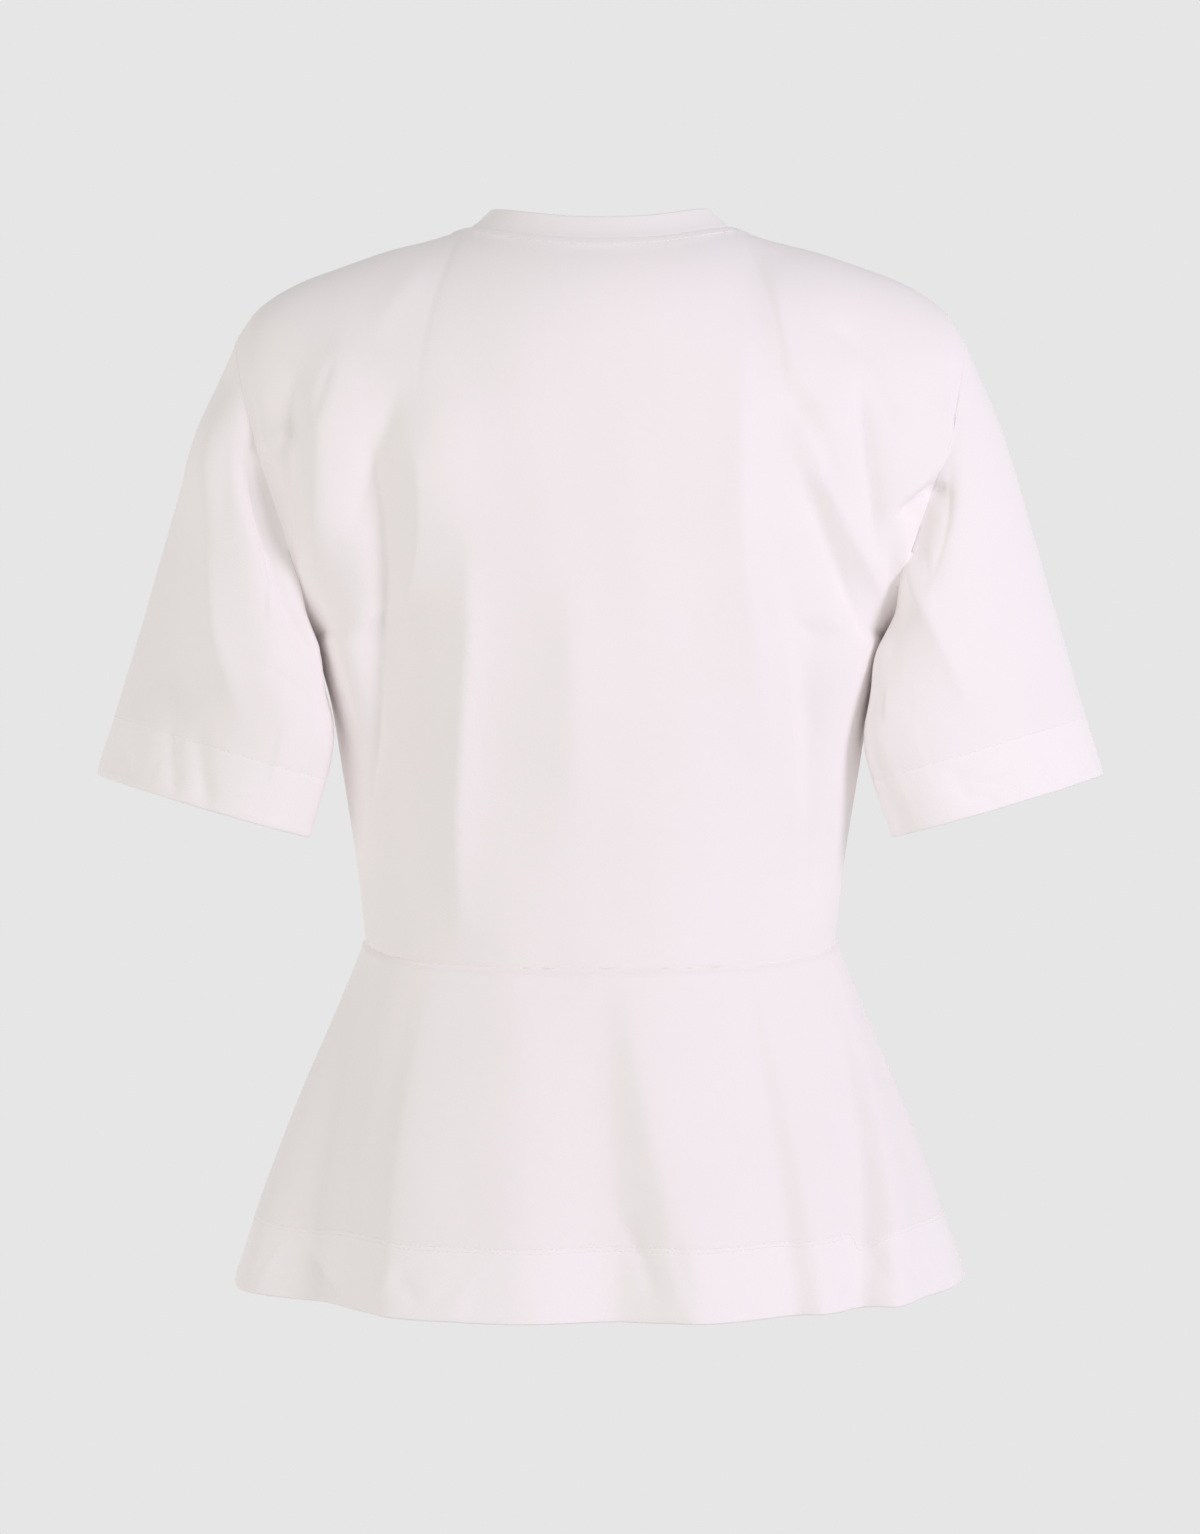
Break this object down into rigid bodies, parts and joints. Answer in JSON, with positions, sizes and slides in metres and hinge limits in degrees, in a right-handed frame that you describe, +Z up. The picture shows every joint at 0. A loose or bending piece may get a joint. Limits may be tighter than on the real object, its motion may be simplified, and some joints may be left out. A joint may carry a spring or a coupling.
{
  "type": "peplum top",
  "caption": "Short-sleeved round-neck top in jersey with a waist seam and a flared peplum, hollow and filled out as when worn",
  "frame": {"origin": "midway between the two shoulder points, where the shoulder seams meet the neckband, at their height", "axes": "+Z up, the front faces -Y, the wearer's left is +X"},
  "size_m": [0.5786, 0.2873, 0.6161],
  "materials": {
    "jersey": "matte",
    "neckband_jersey": "matte"
  },
  "bodies": {
    "root": {"back_bodice": "jersey", "front_bodice": "jersey", "left_sleeve": "jersey", "right_sleeve": "jersey", "neckband": "neckband_jersey", "back_peplum": "jersey", "front_peplum": "jersey"}
  },
  "joints": []
}
